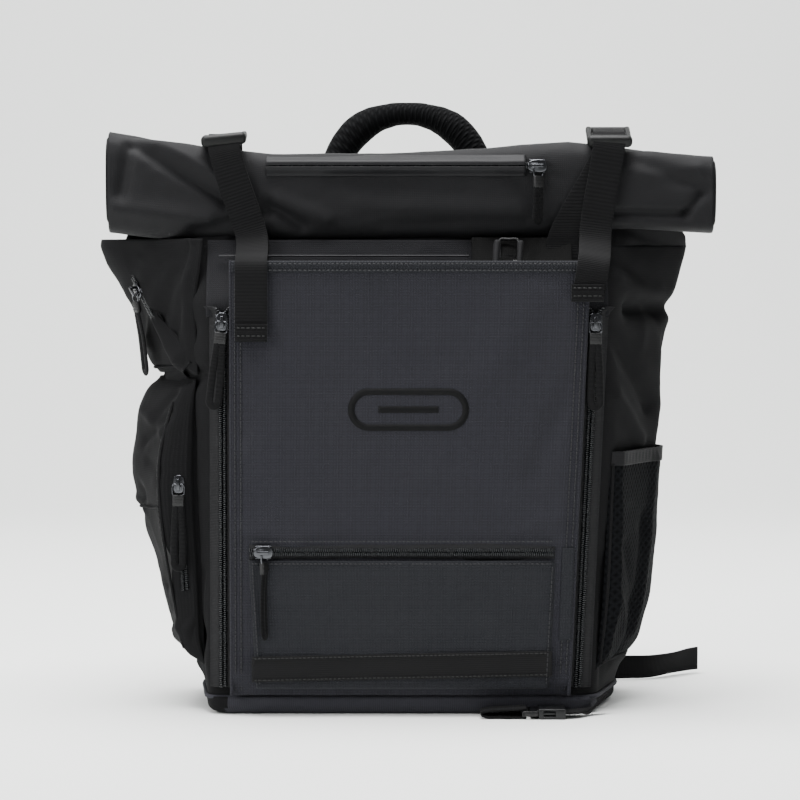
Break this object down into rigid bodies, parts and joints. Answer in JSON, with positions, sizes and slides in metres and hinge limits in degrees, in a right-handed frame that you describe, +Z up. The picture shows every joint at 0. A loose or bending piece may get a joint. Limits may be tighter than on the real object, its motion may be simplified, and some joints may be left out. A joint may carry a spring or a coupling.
{
  "type": "flight bag",
  "caption": "Roll-top flight backpack with a fold-down zipped front panel, side pouch, mesh pocket, closure straps with ladder locks and a padded grab handle.",
  "frame": {"origin": "on the floor under the middle of the base", "axes": "+X to the viewer's right from the front, +Y towards the back pads, +Z up"},
  "size_m": [0.4875, 0.2581, 0.4895],
  "materials": {
    "ripstop": "charcoal ripstop",
    "polyester": "smooth black cloth",
    "side_cloth": "smooth black cloth",
    "mesh": "open knit mesh",
    "lining": "grey lining",
    "webbing": "ribbed webbing",
    "air_mesh": "padded air mesh",
    "zip_tape": "zip tape and coil",
    "print": "tone on tone film",
    "pull_loop": "moulded keeper and webbing",
    "slider": "black nickel",
    "buckle": "moulded black",
    "stiffener": "plain sheet",
    "steel": "black wire"
  },
  "bodies": {
    "bag": {"base_panel": "polyester", "base_board": "stiffener", "base_welt": "polyester", "front_wall": "lining", "back_panel": "polyester", "left_side_panel": "side_cloth", "right_side_panel": "side_cloth", "frame_sheet": "stiffener", "laptop_sleeve": "lining", "back_pad": "air_mesh", "collar": "polyester", "upper_side_pocket": "side_cloth", "upper_side_zip": "zip_tape", "side_pouch": "side_cloth", "side_pouch_zip": "zip_tape", "mesh_pocket": "mesh", "mesh_pocket_hem": "webbing", "body_tapes": "zip_tape", "handle_anchor": "webbing", "shoulder_strap_left": "air_mesh", "shoulder_strap_right": "air_mesh", "shoulder_ladder_locks": "buckle", "shoulder_webbing_left": "webbing", "shoulder_webbing_right": "webbing", "corner_strap": "webbing", "buckle_socket": "buckle", "inner_strap": "webbing", "inner_hook": "steel", "left_strap_run": "webbing", "right_strap_run": "webbing", "lock_ties": "webbing"},
    "buckle_plug": {"buckle_plug": "buckle", "plug_tail": "webbing"},
    "front_panel": {"front_panel": "ripstop", "front_panel_binding": "ripstop", "lower_pocket": "ripstop", "lower_pocket_zip": "zip_tape", "label_band": "webbing", "emblem": "print", "panel_tapes": "zip_tape"},
    "roll_top": {"roll_bundle": "polyester", "roll_stay": "stiffener", "roll_zip": "zip_tape", "left_strap_tail": "webbing", "right_strap_tail": "webbing"},
    "left_ladder_lock": {"left_ladder_lock": "buckle"},
    "right_ladder_lock": {"right_ladder_lock": "buckle"},
    "grab_handle": {"grab_handle": "air_mesh"},
    "left_front_slider": {"left_front_slider": "slider"},
    "left_front_pull": {"left_front_pull": "pull_loop"},
    "right_front_slider": {"right_front_slider": "slider"},
    "right_front_pull": {"right_front_pull": "pull_loop"},
    "lower_pocket_slider": {"lower_pocket_slider": "slider"},
    "lower_pocket_pull": {"lower_pocket_pull": "pull_loop"},
    "roll_zip_slider": {"roll_zip_slider": "slider"},
    "roll_zip_pull": {"roll_zip_pull": "pull_loop"},
    "upper_side_slider": {"upper_side_slider": "slider"},
    "upper_side_pull": {"upper_side_pull": "pull_loop"},
    "side_pouch_slider": {"side_pouch_slider": "slider"},
    "side_pouch_pull": {"side_pouch_pull": "pull_loop"}
  },
  "joints": [
    {"name": "front_panel_fold", "type": "hinge", "parent": "bag", "child": "front_panel", "pos_m": [0, -0.087, 0.015], "axis": [1, 0, 0], "range_deg": [0, 60], "deforming": ["panel_tapes", "left_strap_tail", "right_strap_tail"]},
    {"name": "roll_lift", "type": "slide", "parent": "bag", "child": "roll_top", "axis": [0, 0, 1], "range_m": [0, 0.04], "deforming": ["collar", "left_strap_run", "right_strap_run", "lock_ties"]},
    {"name": "left_ladder_lock_tilt", "type": "hinge", "parent": "roll_top", "child": "left_ladder_lock", "pos_m": [-0.147, -0.036, 0.45106], "axis": [-1, 0, 0], "range_deg": [0, 25], "deforming": ["left_strap_run", "left_strap_tail", "lock_ties"]},
    {"name": "right_ladder_lock_tilt", "type": "hinge", "parent": "roll_top", "child": "right_ladder_lock", "pos_m": [0.156, -0.036, 0.45378], "axis": [-1, 0, 0], "range_deg": [0, 25], "deforming": ["right_strap_run", "right_strap_tail", "lock_ties"]},
    {"name": "grab_handle_swing", "type": "hinge", "parent": "bag", "child": "grab_handle", "pos_m": [0, 0.094, 0.404], "axis": [-1, 0, 0], "range_deg": [0, 80]},
    {"name": "buckle_release", "type": "slide", "parent": "bag", "child": "buckle_plug", "axis": [-1, 0, 0], "range_m": [0, 0.022]},
    {"name": "left_front_slider_slide", "type": "slide", "parent": "bag", "child": "left_front_slider", "axis": [0, 0, -1], "range_m": [0, 0.225]},
    {"name": "left_front_pull_swing", "type": "hinge", "parent": "left_front_slider", "child": "left_front_pull", "pos_m": [-0.147, -0.0904, 0.308], "axis": [-0.9945, 0, 0.1045], "range_deg": [0, 110]},
    {"name": "right_front_slider_slide", "type": "slide", "parent": "bag", "child": "right_front_slider", "axis": [-0.0453, 0, -0.999], "range_m": [0, 0.225]},
    {"name": "right_front_pull_swing", "type": "hinge", "parent": "right_front_slider", "child": "right_front_pull", "pos_m": [0.14344, -0.0904, 0.30771], "axis": [-1, 0, 0], "range_deg": [0, 110]},
    {"name": "lower_pocket_slider_slide", "type": "slide", "parent": "front_panel", "child": "lower_pocket_slider", "axis": [1, 0, 0], "range_m": [0, 0.214]},
    {"name": "lower_pocket_pull_swing", "type": "hinge", "parent": "lower_pocket_slider", "child": "lower_pocket_pull", "pos_m": [-0.115, -0.1019, 0.129], "axis": [-1, 0, 0], "range_deg": [0, 80]},
    {"name": "roll_zip_slider_slide", "type": "slide", "parent": "roll_top", "child": "roll_zip_slider", "axis": [-1, 0, 0], "range_m": [0, 0.196]},
    {"name": "roll_zip_pull_swing", "type": "hinge", "parent": "roll_zip_slider", "child": "roll_zip_pull", "pos_m": [0.099, -0.0699, 0.43], "axis": [-1, 0, 0], "range_deg": [0, 80]},
    {"name": "upper_side_slider_slide", "type": "slide", "parent": "bag", "child": "upper_side_slider", "axis": [0.4136, -0.5213, -0.7464], "range_m": [-0.012, 0.014]},
    {"name": "upper_side_pull_swing", "type": "hinge", "parent": "upper_side_slider", "child": "upper_side_pull", "pos_m": [-0.22098, -0.02394, 0.3314], "axis": [-0.4815, 0.8764, 0], "range_deg": [0, 100]},
    {"name": "side_pouch_slider_slide", "type": "slide", "parent": "bag", "child": "side_pouch_slider", "axis": [0.0587, 0, -0.9983], "range_m": [0, 0.06]},
    {"name": "side_pouch_pull_swing", "type": "hinge", "parent": "side_pouch_slider", "child": "side_pouch_pull", "pos_m": [-0.18293, -0.071, 0.17985], "axis": [-1, 0, 0], "range_deg": [0, 100]}
  ],
  "couplings": [
    {"joint": "left_front_slider_slide", "follows": "front_panel_fold", "m_per_rad": 0.21486},
    {"joint": "right_front_slider_slide", "follows": "front_panel_fold", "m_per_rad": 0.21486}
  ]
}
